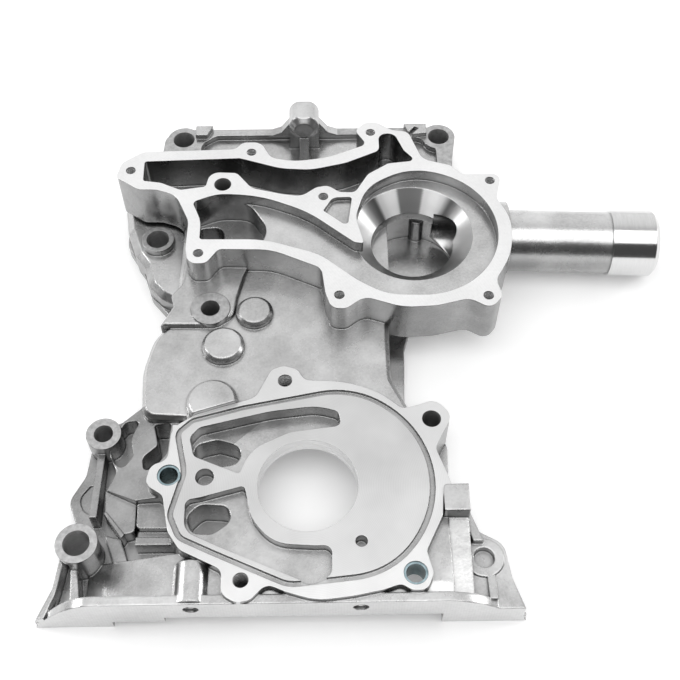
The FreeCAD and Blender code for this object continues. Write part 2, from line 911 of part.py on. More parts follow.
def lower_ribs():
    """Ribs from the lower bosses to the pan strip and the block beside the oil pump."""
    left = prism(HORN_RIB_INNER, rear_face, -11.0)
    outer = prism(HORN_RIB_OUTER, rear_face, -17.0)
    block = box(60.0, 71.2, -14.0, -1.4, -14.0, 1.5)
    right = prism(RIGHT_RIB, rear_face, -9.0)
    down = side_prism([(-34.0, -13.0), (-50.0, -10.0), (-50.0, rear_face), (-34.0, rear_face)], 77.6, 81.0)
    return [left, outer, block, right, down]


def rear_hollows():
    """Chain case and crank case, open to the rear, the head and the oil pan."""
    rear = rear_face - 1.0
    hollows = [
        prism(UPPER_SPACE, rear, top_floor - case_wall),
        prism(MIDDLE_SPACE, rear, channel_floor - side_wall),
        prism(CASE_SPACE, rear, case_face - case_wall),
        prism(CRANK_SPACE, rear, -pump_plate),
        prism(PAN_SPACE, rear, -22.4),
        prism(PAN_INNER_SPACE, rear, -17.8),
    ]
    keep = [post(x, y, 7.0, rear, pump_face) for x, y in PUMP_TAPS]
    keep = [k.cut(box(-100.0, 100.0, -100.0, 100.0, rear, -22.0)) for k in keep]
    keep += [Part.makeCylinder(6.4, pan_tap_depth + 3.0, V(x, pan_y, pan_hole_z), V(0, 1, 0)) for x in PAN_HOLES]
    keep += [prism(port, rear, pump_face) for port in (UPPER_OVAL_WALL, LOWER_OVAL_WALL)]
    backing = Part.Face(rounded(UPPER_PORT, -upper_port_depth - port_wall).makeOffset2D(port_wall))
    keep.append(backing.extrude(V(0, 0, upper_port_depth)))
    return [h.cut(keep) for h in hollows]


def casting():
    solids = [prism(REAR_OUTLINE, rear_face, rear_face + flange_wall)]
    solids += water_pump_body()
    solids.append(hose_neck())
    solids += head_lug()
    solids += top_case()
    solids += chain_case()
    solids += pan_skirt()
    solids += left_bay()
    solids += lower_ribs()
    pump = prism(PUMP_OUTLINE, rear_face + 6.0, pump_face)
    solids.append(pump)
    for x, y, r, hole, top in BOSSES.values():
        solids.append(post(x, y, r, rear_face, top))
    body = solids[0].fuse(solids[1:])
    body = body.cut([prism(PUMP_OUTLINE, pump_face, water_face)] + rear_hollows())
    cuts = [prism(TOP_CHANNEL, channel_floor, water_face + 1.0)]
    cuts.append(prism(VOLUTE, volute_floor, water_face + 1.0))
    cuts.append(prism(CORNER_POCKET, water_face - 2.6, water_face + 1.0))
    cuts.append(prism(OUTLET, outlet_floor, water_face))
    cuts.append(prism(OUTLET_PORT, rear_face - 1.0, outlet_floor + 1.0))
    cone = Part.makeCone(cone_outer_radius, cone_inner_radius, cone_outer_radius - cone_inner_radius,
                         V(cone_x, cone_y, volute_floor), V(0, 0, -1))
    cuts.append(cone)
    cuts.append(post(cone_x, cone_y, cone_inner_radius, -6.0, volute_floor))
    chamber = post(cone_x, cone_y, chamber_radius, chamber_floor, chamber_roof)
    chamber = chamber.cut([
        box(cone_x - chamber_radius, chamber_wall_x, cone_y - chamber_radius, cone_y + chamber_radius,
            chamber_floor, chamber_roof),
        post(*chamber_boss, chamber_floor, chamber_boss_top),
    ])
    cuts.append(chamber)
    cuts.append(neck_passage())
    cuts.append(prism(HORN_POCKET, rear_face + 1.5, -6.0))
    cuts.append(post(0.0, 0.0, crank_radius, rear_face - 1.0, pump_face + 1.0))
    cuts.append(prism(UPPER_PORT, -upper_port_depth, pump_face + 1.0))
    cuts.append(prism(LOWER_PORT, -lower_port_depth, pump_face + 1.0))
    line = rounded(GROOVE_LINE, pump_face - groove_depth)
    ring = Part.Face(line.makeOffset2D(groove_half_width)).cut(Part.Face(line.makeOffset2D(-groove_half_width)))
    cuts.append(ring.extrude(V(0, 0, groove_depth + 1.0)))
    for x, y, depth in WATER_TAPS:
        cuts.append(post(x, y, m6_tap, water_face - depth, water_face + 1.0))
    cuts.append(post(*WATER_THROUGH, m8_clear, rear_face - 1.0, water_face + 1.0))
    for x, y in PUMP_TAPS:
        cuts.append(post(x, y, m8_tap, pump_face - m8_tap_depth, pump_face + 1.0))
    cuts.append(post(*PUMP_THROUGH, m8_clear, rear_face - 1.0, pump_face + 1.0))
    for x, y in DOWELS.values():
        cuts.append(post(x, y, dowel_seat, pump_face - sleeve_length - sleeve_sink, pump_face + 1.0))
    for name, (x, y, r, hole, top) in BOSSES.items():
        bottom = top - 3.5 if name == "pan_right" else rear_face - 1.0
        cuts.append(post(x, y, hole, bottom, top + 1.0))
    for x in PAN_HOLES:
        cuts.append(Part.makeCylinder(m8_tap, pan_tap_depth + 1.0, V(x, pan_y - 1.0, pan_hole_z), V(0, 1, 0)))
    cuts.append(post(*LAND_HOLE, 4.2, -7.0, pump_face + 1.0))
    cuts.append(post(*BLIND_HOLE, 2.7, -6.0, pump_face + 1.0))
    cuts.append(prism(UPPER_OVAL, -oval_depth, -upper_port_depth))
    cuts.append(prism(LOWER_OVAL, -oval_depth, -lower_port_depth))
    return body.cut(cuts).removeSplitter()


def dowel_sleeve(x, y):
    top = pump_face - sleeve_sink
    sleeve = post(x, y, dowel_seat, top - sleeve_length, top)
    return sleeve.cut(post(x, y, sleeve_bore, top - sleeve_length - 1.0, top + 1.0))


os.makedirs("parts", exist_ok=True)
cover = casting()
cover.exportStep("parts/cover_casting.step")
for side, (x, y) in DOWELS.items():
    dowel_sleeve(x, y).exportStep("parts/dowel_sleeve_" + side + ".step")
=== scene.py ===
import json
import math

import bmesh
import bpy
from mathutils import Matrix, Vector
from mathutils.bvhtree import BVHTree


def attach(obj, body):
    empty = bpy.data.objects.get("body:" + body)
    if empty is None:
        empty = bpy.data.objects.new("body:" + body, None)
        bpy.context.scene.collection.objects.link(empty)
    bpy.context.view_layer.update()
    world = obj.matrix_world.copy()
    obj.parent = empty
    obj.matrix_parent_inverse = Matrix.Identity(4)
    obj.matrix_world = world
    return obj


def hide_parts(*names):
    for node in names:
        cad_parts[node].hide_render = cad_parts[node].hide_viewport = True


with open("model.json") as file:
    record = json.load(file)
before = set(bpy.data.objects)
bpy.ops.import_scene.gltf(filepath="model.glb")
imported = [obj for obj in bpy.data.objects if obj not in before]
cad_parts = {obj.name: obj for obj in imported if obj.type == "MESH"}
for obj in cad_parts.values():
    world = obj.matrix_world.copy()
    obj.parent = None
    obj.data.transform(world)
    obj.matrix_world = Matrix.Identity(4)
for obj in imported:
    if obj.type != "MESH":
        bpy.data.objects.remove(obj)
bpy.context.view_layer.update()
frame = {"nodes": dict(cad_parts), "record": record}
mounts = {m["name"]: m for m in frame["record"]["mounts"]}
mm = 0.001
print("frame loaded:", len(mounts), "mounts")


# Shader maths on sockets, so that a mask reads as a sum
class Wire:
    def __init__(self, finish, socket):
        self.finish = finish
        self.socket = socket

    def math(self, operation, a, b):
        return self.finish.node("ShaderNodeMath", {"operation": operation}, {0: a, 1: b})

    def __add__(self, other):
        return self.math("ADD", self, other)

    def __radd__(self, other):
        return self.math("ADD", other, self)

    def __mul__(self, other):
        return self.math("MULTIPLY", self, other)

    def __rmul__(self, other):
        return self.math("MULTIPLY", other, self)


def fillRamp(ramp, stops):
    while len(ramp.elements) < len(stops):
        ramp.elements.new(0.5)
    for element, (position, colour) in zip(ramp.elements, stops):
        element.position = position
        element.color = colour


class Finish:
    def __init__(self, name, metallic):
        self.material = bpy.data.materials.new(name)
        self.material.use_nodes = True
        self.tree = self.material.node_tree
        self.shader = self.tree.nodes["Principled BSDF"]
        self.shader.inputs["Metallic"].default_value = metallic
        self.place = self.node("ShaderNodeTexCoord", {}, {}, "Object")

    def node(self, kind, settings, inputs, output=0):
        made = self.tree.nodes.new(kind)
        for key, value in settings.items():
            if key == "stops":
                fillRamp(made.color_ramp, value)
            else:
                setattr(made, key, value)
        for key, value in inputs.items():
            self.feed(made.inputs[key], value)
        return Wire(self, made.outputs[output])

    def feed(self, socket, value):
        if isinstance(value, Wire):
            self.tree.links.new(value.socket, socket)
        else:
            socket.default_value = value

    def noise(self, scale, detail, rough=0.55, where=None):
        inputs = {"Vector": where or self.place, "Scale": scale, "Detail": detail, "Roughness": rough}
        return self.node("ShaderNodeTexNoise", {}, inputs, "Fac")

    def rings(self, scale, distortion, detail, where=None):
        # Fine circles about the Z axis of the given place
        settings = {"wave_type": "RINGS", "rings_direction": "Z"}
        inputs = {
            "Vector": where or self.place,
            "Scale": scale,
            "Distortion": distortion,
            "Detail": detail,
        }
        return self.node("ShaderNodeTexWave", settings, inputs, "Fac")

    def moved(self, location, scale=(1, 1, 1)):
        inputs = {"Vector": self.place, "Location": location, "Scale": scale}
        return self.node("ShaderNodeMapping", {}, inputs)

    def clamp(self, value, low, high):
        inputs = {"Value": value, "From Min": low, "From Max": high}
        return self.node("ShaderNodeMapRange", {}, inputs)

    def colour(self, factor, stops):
        return self.node("ShaderNodeValToRGB", {"stops": stops}, {"Fac": factor})

    def between(self, factor, span, dark, light):
        low, high = span
        return self.colour(factor, [(low, dark), (high, light)])

    def mixed(self, factor, colourAtNought, colourAtOne):
        settings = {"data_type": "RGBA", "blend_type": "MIX"}
        inputs = {"Factor": factor, 6: colourAtNought, 7: colourAtOne}
        return self.node("ShaderNodeMix", settings, inputs, 2)

    def shaded(self, colour, reach, darkest):
        # Darkens the corners and pockets that little light reaches
        rays, fullLight = 12, 0.8
        openSky = self.node("ShaderNodeAmbientOcclusion", {"samples": rays}, {"Distance": reach}, "AO")
        return self.mixed(self.clamp(openSky, 0.0, fullLight), darkest, colour)

    def levelness(self):
        # 1 on a level face, 0 on an upright one
        upright, level = 0.1, 0.8
        normal = self.node("ShaderNodeTexCoord", {}, {}, "Normal")
        rise = self.node("ShaderNodeSeparateXYZ", {}, {"Vector": normal}, "Z")
        size = self.node("ShaderNodeMath", {"operation": "ABSOLUTE"}, {0: rise})
        return self.clamp(size, upright, level)

    def relief(self, height, strength, depth, rounding):
        # Bump over edges that are rounded in shading only
        rays = 6
        rounded = self.node("ShaderNodeBevel", {"samples": rays}, {"Radius": rounding})
        inputs = {"Height": height, "Strength": strength, "Distance": depth, "Normal": rounded}
        return self.node("ShaderNodeBump", {}, inputs)

    def set(self, name, value):
        self.feed(self.shader.inputs[name], value)


def grey(value, warm=0.0):
    return (value * (1 + warm), value, value * (1 - warm), 1.0)


# A noise is (scale, detail, roughness), rings are (scale, distortion, detail), and a relief is
# (strength, depth, rounding of the edges)
castLook = {
    "metallic": 1.0,
    "grain": (900.0, 2.0),
    "pebble": (330.0, 3.0),
    "patch": (46.0, 4.0, 0.6),
    "stain": (14.0, 4.0, 0.6),
    "patchShare": 0.52,
    "stainShare": 0.33,
    "grainShare": 0.15,
    "toneSpan": (0.37, 0.62),
    # Painted shade: upright walls take this share of the level tone
    "flankShare": 0.55,
    # Painted shade: the darkest colours in the creases and in the tight corners
    "creaseShadeColour": grey(0.30),
    "creaseReach": 0.009,
    "cornerShadeColour": grey(0.06),
    "cornerReach": 0.0026,
    "roughness": 0.17,
    "patchRoughness": 0.12,
    "stainRoughness": 0.08,
    "grainRelief": 0.35,
    "relief": (0.22, 0.0002, 0.0011),
}


def castSkin(name, dark, light):
    c = castLook
    skin = Finish(name, c["metallic"])
    grain = skin.noise(*c["grain"])
    pebble = skin.noise(*c["pebble"])
    patch = skin.noise(*c["patch"])
    stain = skin.noise(*c["stain"])
    tone = patch * c["patchShare"] + stain * c["stainShare"] + grain * c["grainShare"]
    # Painted shade: upright walls are darker than level ones, as less light falls on them
    flat = skin.between(tone, c["toneSpan"], dark, light)
    flankShadeDark, flankShadeLight = grey(dark[1] * c["flankShare"]), grey(light[1] * c["flankShare"])
    flank = skin.between(tone, c["toneSpan"], flankShadeDark, flankShadeLight)
    beforeHollowShade = skin.mixed(skin.levelness(), flank, flat)
    # Painted shade: darkens the creases and, more darkly, the tight corners where little light reaches
    creased = skin.shaded(beforeHollowShade, c["creaseReach"], c["creaseShadeColour"])
    skin.set("Base Color", skin.shaded(creased, c["cornerReach"], c["cornerShadeColour"]))
    skin.set("Roughness", c["roughness"] + patch * c["patchRoughness"] + stain * c["stainRoughness"])
    skin.set("Normal", skin.relief(grain * c["grainRelief"] + pebble, *c["relief"]))
    return skin.material


milledLook = {
    "metallic": 0.9,
    "cutterPlace": (0.31, 0.1, 0),
    "arcs": (260.0, 0.6, 2.0),
    "cloud": (24.0, 3.0),
    "streak": (700.0, 2.0),
    "cloudShare": 0.65,
    "arcShare": 0.05,
    "streakShare": 0.3,
    "toneSpan": (0.3, 0.6),
    "roughness": 0.34,
    "cloudRoughness": 0.14,
    "arcRelief": 0.3,
    "relief": (0.03, 0.0001, 0.00035),
}


def milledFace(name, dark, light):
    # Milled face: wide arcs left by a large cutter
    m = milledLook
    face = Finish(name, m["metallic"])
    arcs = face.rings(*m["arcs"], where=face.moved(m["cutterPlace"]))
    cloud = face.noise(*m["cloud"])
    streak = face.noise(*m["streak"])
    tone = cloud * m["cloudShare"] + arcs * m["arcShare"] + streak * m["streakShare"]
    face.set("Base Color", face.between(tone, m["toneSpan"], dark, light))
    face.set("Roughness", m["roughness"] + cloud * m["cloudRoughness"])
    face.set("Normal", face.relief(arcs * m["arcRelief"] + streak, *m["relief"]))
    return face.material


plateLook = {
    "metallic": 0.95,
    "rings": (420.0, 0.4, 1.0),
    "cloud": (30.0, 3.0),
    "smear": (9.0, 2.0),
    "cloudShare": 0.5,
    "smearShare": 0.4,
    "ringShare": 0.1,
    "toneSpan": (0.34, 0.62),
    "roughness": 0.26,
    "cloudRoughness": 0.12,
    "relief": (0.06, 0.0001, 0.0003),
}


def facedPlate(name, dark, light):
    # Pump plate: fine rings turned about the crankshaft axis
    look = plateLook
    plate = Finish(name, look["metallic"])
    rings = plate.rings(*look["rings"])
    cloud = plate.noise(*look["cloud"])
    smear = plate.noise(*look["smear"])
    tone = cloud * look["cloudShare"] + smear * look["smearShare"] + rings * look["ringShare"]
    plate.set("Base Color", plate.between(tone, look["toneSpan"], dark, light))
    plate.set("Roughness", look["roughness"] + cloud * look["cloudRoughness"])
    plate.set("Normal", plate.relief(rings, *look["relief"]))
    return plate.material


seatLook = {
    "metallic": 1.0,
    "grain": (500.0, 3.0),
    "toneSpan": (0.3, 0.7),
    "dark": grey(0.38),
    "light": grey(0.58),
    "roughness": 0.34,
    "grainRoughness": 0.1,
    "relief": (0.2, 0.0001, 0.0005),
}


def boltSeat():
    # Spot-faced ring round a bolt hole, dulled by handling
    look = seatLook
    seat = Finish("boltSeat", look["metallic"])
    grain = seat.noise(*look["grain"])
    seat.set("Base Color", seat.between(grain, look["toneSpan"], look["dark"], look["light"]))
    seat.set("Roughness", look["roughness"] + grain * look["grainRoughness"])
    seat.set("Normal", seat.relief(grain, *look["relief"]))
    return seat.material


boreLook = {
    "metallic": 1.0,
    "lines": (90.0, 2.0, 0.5),
    "squeeze": (1.0, 1.0, 22.0),
    "toneSpan": (0.3, 0.7),
    "dark": grey(0.62),
    "light": grey(0.80),
    "roughness": 0.20,
    "lineRoughness": 0.12,
    "relief": (0.06, 0.0001, 0.0003),
}


def turnedMetal():
    look = boreLook
    bore = Finish("turnedMetal", look["metallic"])
    lines = bore.noise(*look["lines"], where=bore.moved((0, 0, 0), look["squeeze"]))
    bore.set("Base Color", bore.between(lines, look["toneSpan"], look["dark"], look["light"]))
    bore.set("Roughness", look["roughness"] + lines * look["lineRoughness"])
    bore.set("Normal", bore.relief(lines, *look["relief"]))
    return bore.material


coneAxis = Vector((53.6 * mm, 136.4 * mm))
coneLook = {
    "metallic": 1.0,
    "rings": (520.0, 0.2, 1.0),
    "waver": 0.004,
    "roughness": 0.30,
    "ringRoughness": 0.04,
    "relief": (0.012, 0.0001, 0.0003),
    # Share of a full turn about the axis, and the tone there
    "sectors": [
        (0.0, grey(0.75)), (0.083, grey(0.62)), (0.25, grey(0.42)), (0.389, grey(0.62)),
        (0.472, grey(0.68)), (0.556, grey(0.62)), (0.589, grey(0.16)), (0.628, grey(0.14)),
        (0.65, grey(0.92)), (0.711, grey(0.95)), (0.719, grey(0.30)), (0.786, grey(0.26)),
        (0.794, grey(0.97)), (0.85, grey(0.93)), (0.861, grey(0.12)), (0.908, grey(0.22)),
        (0.925, grey(0.80)), (1.0, grey(0.75)),
    ],
}


def turnedCone():
    # A turned cone throws light in sectors, so its tone goes by the angle round its own axis
    look = coneLook
    cone = Finish("turnedCone", look["metallic"])
    centred = cone.moved((-coneAxis.x, -coneAxis.y, 0.0))
    angle = cone.node("ShaderNodeTexGradient", {"gradient_type": "RADIAL"}, {"Vector": centred}, "Fac")
    rings = cone.rings(*look["rings"], where=centred)
    cone.set("Base Color", cone.colour(angle + rings * look["waver"], look["sectors"]))
    cone.set("Roughness", look["roughness"] + rings * look["ringRoughness"])
    cone.set("Normal", cone.relief(rings, *look["relief"]))
    return cone.material


collarLook = {
    "metallic": 1.0,
    "rings": (110.0, 3.0, 0.6),
    "squeeze": (30.0, 1.0, 1.0),
    "toneSpan": (0.2, 0.8),
    "dark": grey(0.60),
    "light": grey(0.74),
    "roughness": 0.12,
    "ringRoughness": 0.05,
    "relief": (0.03, 0.0001, 0.0004),
}


def turnedCollar():
    # Hose collar: noise squeezed along the neck reads as fine turned rings
    look = collarLook
    collar = Finish("turnedCollar", look["metallic"])
    rings = collar.noise(*look["rings"], where=collar.moved((0, 0, 0), look["squeeze"]))
    collar.set("Base Color", collar.between(rings, look["toneSpan"], look["dark"], look["light"]))
    collar.set("Roughness", look["roughness"] + rings * look["ringRoughness"])
    collar.set("Normal", collar.relief(rings, *look["relief"]))
    return collar.material


drilledLook = {
    "metallic": 0.55,
    "grain": (500.0, 3.0),
    "toneSpan": (0.3, 0.7),
    "dark": grey(0.62),
    "light": grey(0.90),
    "depthShadeColour": grey(0.07),
    "depthReach": 0.016,
    "roughness": 0.30,
    "grainRoughness": 0.10,
}


def drilledHole():
    # Drilled walls: painted shade darkens them down the hole, and they keep the light tone at the mouth
    look = drilledLook
    hole = Finish("drilledHole", look["metallic"])
    grain = hole.noise(*look["grain"])
    beforeHollowShade = hole.between(grain, look["toneSpan"], look["dark"], look["light"])
    # Painted shade: ambient occlusion darkens the hole towards its depth
    hole.set("Base Color", hole.shaded(beforeHollowShade, look["depthReach"], look["depthShadeColour"]))
    hole.set("Roughness", look["roughness"] + grain * look["grainRoughness"])
    return hole.material


threadLook = {
    "metallic": 0.8,
    "grain": (900.0, 2.0),
    "toneSpan": (0.3, 0.7),
    "dark": grey(0.80),
    "light": grey(0.97),
    "roughness": 0.16,
    "grainRoughness": 0.08,
}


def threadMetal():
    # Threads carry a painted glint: a light colour that makes them lighter than the drilled wall behind
    # them
    look = threadLook
    thread = Finish("threadMetal", look["metallic"])
    grain = thread.noise(*look["grain"])
    thread.set("Base Color", thread.between(grain, look["toneSpan"], look["dark"], look["light"]))
    thread.set("Roughness", look["roughness"] + grain * look["grainRoughness"])
    return thread.material


zincLook = {
    "metallic": 1.0,
    "cloud": (300.0, 2.0),
    "toneSpan": (0.3, 0.7),
    "dark": (0.26, 0.35, 0.38, 1),
    "light": (0.48, 0.60, 0.64, 1),
    "depthShadeColour": (0.03, 0.06, 0.06, 1),
    "depthReach": 0.010,
    "roughness": 0.20,
    "cloudRoughness": 0.10,
}


def zincSteel():
    look = zincLook
    zinc = Finish("zincSteel", look["metallic"])
    cloud = zinc.noise(*look["cloud"])
    beforeHollowShade = zinc.between(cloud, look["toneSpan"], look["dark"], look["light"])
    # Painted shade: ambient occlusion darkens the inside of the sleeve
    zinc.set("Base Color", zinc.shaded(beforeHollowShade, look["depthReach"], look["depthShadeColour"]))
    zinc.set("Roughness", look["roughness"] + cloud * look["cloudRoughness"])
    return zinc.material


looks = {
    "cast": castSkin("castAluminium", grey(0.44, 0.002), grey(0.72)),
    # Darker copy of the cast skin: painted shade on walls inside pockets
    "wall": castSkin("castPocketShade", grey(0.22, 0.004), grey(0.50)),
    # Darker copy of the cast skin: painted shade on the low faces of the recessed bay
    "bay": castSkin("castBayShade", grey(0.27, 0.003), grey(0.48)),
    "milled": milledFace("milledFace", grey(0.80), grey(0.92)),
    # Darker copy of the milled face: painted shade on the upright pan and head faces
    "side": milledFace("milledSideShade", grey(0.60), grey(0.74)),
    "plate": facedPlate("facedPlate", grey(0.59), grey(0.73)),
    "land": facedPlate("facedLand", grey(0.70), grey(0.84)),
    "seat": boltSeat(),
    "cone": turnedCone(),
    "turned": turnedMetal(),
    "collar": turnedCollar(),
    "drilled": drilledHole(),
    "thread": threadMetal(),
    "zinc": zincSteel(),
}
coverLooks = [
    "cast", "wall", "bay", "milled", "side", "plate",
    "land", "seat", "turned", "cone", "collar", "drilled",
]
print("finishes ready:", len(looks))


def placed(name, mesh):
    made = bpy.data.objects.new(name, mesh)
    bpy.context.collection.objects.link(made)
    return made


def meshFrom(bm, name):
    mesh = bpy.data.meshes.new(name)
    bm.to_mesh(mesh)
    bm.free()
    return mesh


coverPlaces = {
    "weld": 0.002 * mm,
    "flatAngle": math.radians(0.4),
    "sharpAngle": math.radians(26),
    "near": 0.06 * mm,
    "waterFace": mounts["water_pump_face"]["pos_m"][2],
    "pumpFace": mounts["oil_pump_face"]["pos_m"][2],
    "rearFace": mounts["block_face"]["pos_m"][2],
    "panFace": mounts["pan_face"]["pos_m"][1],
    "headFace": mounts["head_face"]["pos_m"][1],
    "seats": [
        "head_bolt_left", "head_bolt_right", "outlet_bolt", "case_bolt", "left_bolt", "pan_left_bolt",
    ],
    "seatReach": 11.0 * mm,
    "landMargin": 1.0 * mm,
    "crankBore": mounts["crank_opening"]["dims"]["r_mm"] * mm,
    "crankWall": 0.9 * mm,
    "coneOuter": 30.6 * mm,
    "coneFoot": -1.0 * mm,
    "coneTop": 9.0 * mm,
    "widestHole": 9.0 * mm,
    "holeWall": 0.5 * mm,
    "liftOff": 0.05 * mm,
    "pocketWidth": 40.0 * mm,
    "bayRight": -38.0 * mm,
    "bayTop": 43.5 * mm,
    "bayFoot": -30.0 * mm,
    "bayHeight": -1.6 * mm,
    # How far a face or an axis may lean, as parts of its normal or direction
    "level": 0.995,
    "square": 0.99,
    "boreRise": 0.1,
    "coneRise": (0.3, 0.9),
    "holeRise": 0.2,
    "wallRise": 0.5,
}

# A thin rib stands beside the pump plate, and these blocks cut it back to the slope of the bay
ribCut = {
    "well": (Vector((-62.3, 31.2, -5.3)) * mm, Vector((-59.7, 35.4, 0.8)) * mm),
    "ramp": (Vector((-62.4, 35.2, -3.45)) * mm, Vector((-59.6, 37.5, 0.7)) * mm),
    "shelf": (Vector((-62.3, 37.35, -1.45)) * mm, Vector((-59.7, 42.8, 0.8)) * mm),
    "rampFoot": Vector((0.0, 35.4, -3.42)) * mm,
    "rampSide": Vector((0.0, 1.0, -1.0)),
}


def ribBlock(name):
    low, high = ribCut[name]
    bm = bmesh.new()
    bmesh.ops.create_cube(bm, size=1.0)
    bmesh.ops.scale(bm, verts=bm.verts, vec=high - low)
    bmesh.ops.translate(bm, verts=bm.verts, vec=(low + high) / 2)
    if name == "ramp":
        whole = list(bm.verts) + list(bm.edges) + list(bm.faces)
        foot, side = ribCut["rampFoot"], ribCut["rampSide"]
        bmesh.ops.bisect_plane(bm, geom=whole, plane_co=foot, plane_no=side, clear_outer=True)
        bmesh.ops.holes_fill(bm, edges=bm.edges)
        bmesh.ops.recalc_face_normals(bm, faces=bm.faces)
    return placed("ribBlock", meshFrom(bm, "ribBlock"))


def weldedCopy(source):
    bm = bmesh.new()
    bm.from_mesh(source)
    bmesh.ops.remove_doubles(bm, verts=bm.verts, dist=coverPlaces["weld"])
    return meshFrom(bm, "weldedCopy")


def withoutRib(source):
    body = placed("castingBody", source)
    blocks = [ribBlock(name) for name in ("well", "ramp", "shelf")]
    for block in blocks:
        cut = body.modifiers.new("ribCut", "BOOLEAN")
        cut.operation = "DIFFERENCE"
        cut.solver = "EXACT"
        cut.object = block
    graph = bpy.context.evaluated_depsgraph_get()
    mesh = bpy.data.meshes.new_from_object(body.evaluated_get(graph))
    for obj in [body] + blocks:
        bpy.data.objects.remove(obj)
    return mesh


def uprightHoles():
    # Place and radius of every upright hole, with the crankshaft opening left out
    p = coverPlaces
    holes = []
    for mount in mounts.values():
        radius = mount["dims"].get("r_mm", 0.0) * mm
        if abs(mount["axis"][2]) > p["square"] and 0.0 < radius < p["widestHole"]:
            holes.append((Vector(mount["pos_m"][:2]), radius))
    return holes


boltSeats = [Vector(mounts[name]["pos_m"]) for name in coverPlaces["seats"]]
boltHoles = uprightHoles()
neck = {
    "centre": Vector(mounts["hose_neck"]["pos_m"]),
    "axis": Vector(mounts["hose_neck"]["axis"]),
    "halfLength": mounts["hose_neck"]["dims"]["length_mm"] * mm / 2,
    "margin": 0.1 * mm,
}


def faceLook(centre, normal, facesWall):
    p = coverPlaces
    near = p["near"]
    flat = normal.z > p["level"]
    if flat and abs(centre.z - p["waterFace"]) < near:
        return "milled"
    if flat and abs(centre.z - p["pumpFace"]) < near:
        return "plate"
    if normal.z < -p["level"] and abs(centre.z - p["rearFace"]) < near:
        return "milled"
    # Painted shade: the upright milled faces take the darker milled copy
    if normal.y < -p["square"] and abs(centre.y - p["panFace"]) < near:
        return "side"
    if normal.y > p["square"] and abs(centre.y - p["headFace"]) < near:
        return "side"
    for seat in boltSeats:
        if flat and (centre - seat).length < p["seatReach"] and abs(centre.z - seat.z) < near:
            return "seat"
    out = Vector((centre.x, centre.y))
    if abs(normal.z) < p["boreRise"] and abs(out.length - p["crankBore"]) < p["crankWall"]:
        return "turned"
    inCone = (out - coneAxis).length < p["coneOuter"] and p["coneFoot"] < centre.z < p["coneTop"]
    steepest, flattest = p["coneRise"]
    if inCone and steepest < normal.z < flattest:
        return "cone"
    if (centre - neck["centre"]).dot(neck["axis"]) > -neck["halfLength"] - neck["margin"]:
        return "collar"
    if abs(normal.z) < p["holeRise"]:
        for hole, radius in boltHoles:
            if abs((out - hole).length - radius) < p["holeWall"]:
                return "drilled"
    # Painted shade: a steep face with another wall across from it takes the darker cast copy
    if facesWall:
        return "wall"
    # Painted shade: low faces across the bay take the darker cast copy
    acrossBay = centre.x < p["bayRight"] and p["bayFoot"] < centre.y < p["bayTop"]
    return "bay" if acrossBay and centre.z < p["bayHeight"] else "cast"


def pumpLand(bm):
    # The sealing groove parts the pump face in two, and the outer land is the lighter one
    p = coverPlaces
    level = {
        f for f in bm.faces
        if f.normal.z > p["level"] and abs(f.calc_center_median().z - p["pumpFace"]) < p["near"]
    }
    bolt = mounts["oil_pump_bolt"]
    hole = Vector(bolt["pos_m"][:2])
    rim = bolt["dims"]["r_mm"] * mm + p["landMargin"]
    queue = [f for f in level if any((v.co.xy - hole).length < rim for v in f.verts)]
    land = set(queue)
    while queue:
        face = queue.pop()
        for edge in face.edges:
            for other in edge.link_faces:
                if other in level and other not in land:
                    land.add(other)
                    queue.append(other)
    return land


def buildCover():
    p = coverPlaces
    bm = bmesh.new()
    bm.from_mesh(withoutRib(weldedCopy(frame["nodes"]["cover_casting"].data)))
    bmesh.ops.remove_doubles(bm, verts=bm.verts, dist=p["weld"])
    bmesh.ops.dissolve_limit(bm, angle_limit=p["flatAngle"], verts=bm.verts, edges=bm.edges)
    land = pumpLand(bm)
    surface = BVHTree.FromBMesh(bm)
    for edge in bm.edges:
        edge.smooth = edge.calc_face_angle(math.pi) < p["sharpAngle"]
    for face in bm.faces:
        face.smooth = True
        centre = face.calc_center_median()
        # A steep face with another wall across from it lies in a pocket, and gets painted pocket shade
        eye = centre + face.normal * p["liftOff"]
        opposite = surface.ray_cast(eye, face.normal, p["pocketWidth"])[0]
        facesWall = abs(face.normal.z) < p["wallRise"] and opposite is not None
        look = "land" if face in land else faceLook(centre, face.normal, facesWall)
        face.material_index = coverLooks.index(look)
    bmesh.ops.triangulate(bm, faces=bm.faces, ngon_method="BEAUTY")
    mesh = meshFrom(bm, "coverCasting")
    for stored in ("custom_normal", "normal"):
        if stored in mesh.attributes:
            mesh.attributes.remove(mesh.attributes[stored])
    for look in coverLooks:
        mesh.materials.append(looks[look])
    cover = placed("coverCasting", mesh)
    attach(cover, "root")
    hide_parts("cover_casting")
    return cover


cover = buildCover()
print("cover dressed:", len(cover.data.polygons), "faces")


def dressSleeves():
    for side in ("left", "right"):
        sleeve = frame["nodes"]["dowel_sleeve_" + side]
        sleeve.data.materials.clear()
        sleeve.data.materials.append(looks["zinc"])
        for polygon in sleeve.data.polygons:
            polygon.material_index = 0


dressSleeves()
print("sleeves dressed")


# Screw threads, cut as one helix of a small tooth wound down each tapped hole
threadSizes = {
    "water_pump_thread": {"count": 8, "pitch": 1.0 * mm, "tooth": 0.34 * mm, "depth": 9.0 * mm},
    "oil_pump_thread": {"count": 2, "pitch": 1.25 * mm, "tooth": 0.42 * mm, "depth": 10.0 * mm},
    "pan_thread": {"count": 2, "pitch": 1.25 * mm, "tooth": 0.42 * mm, "depth": 8.0 * mm},
}
threadForm = {
    "steps": 16,
    "flankShare": 0.42,
    "start": -0.8 * mm,
    "intoWall": 0.05 * mm,
}


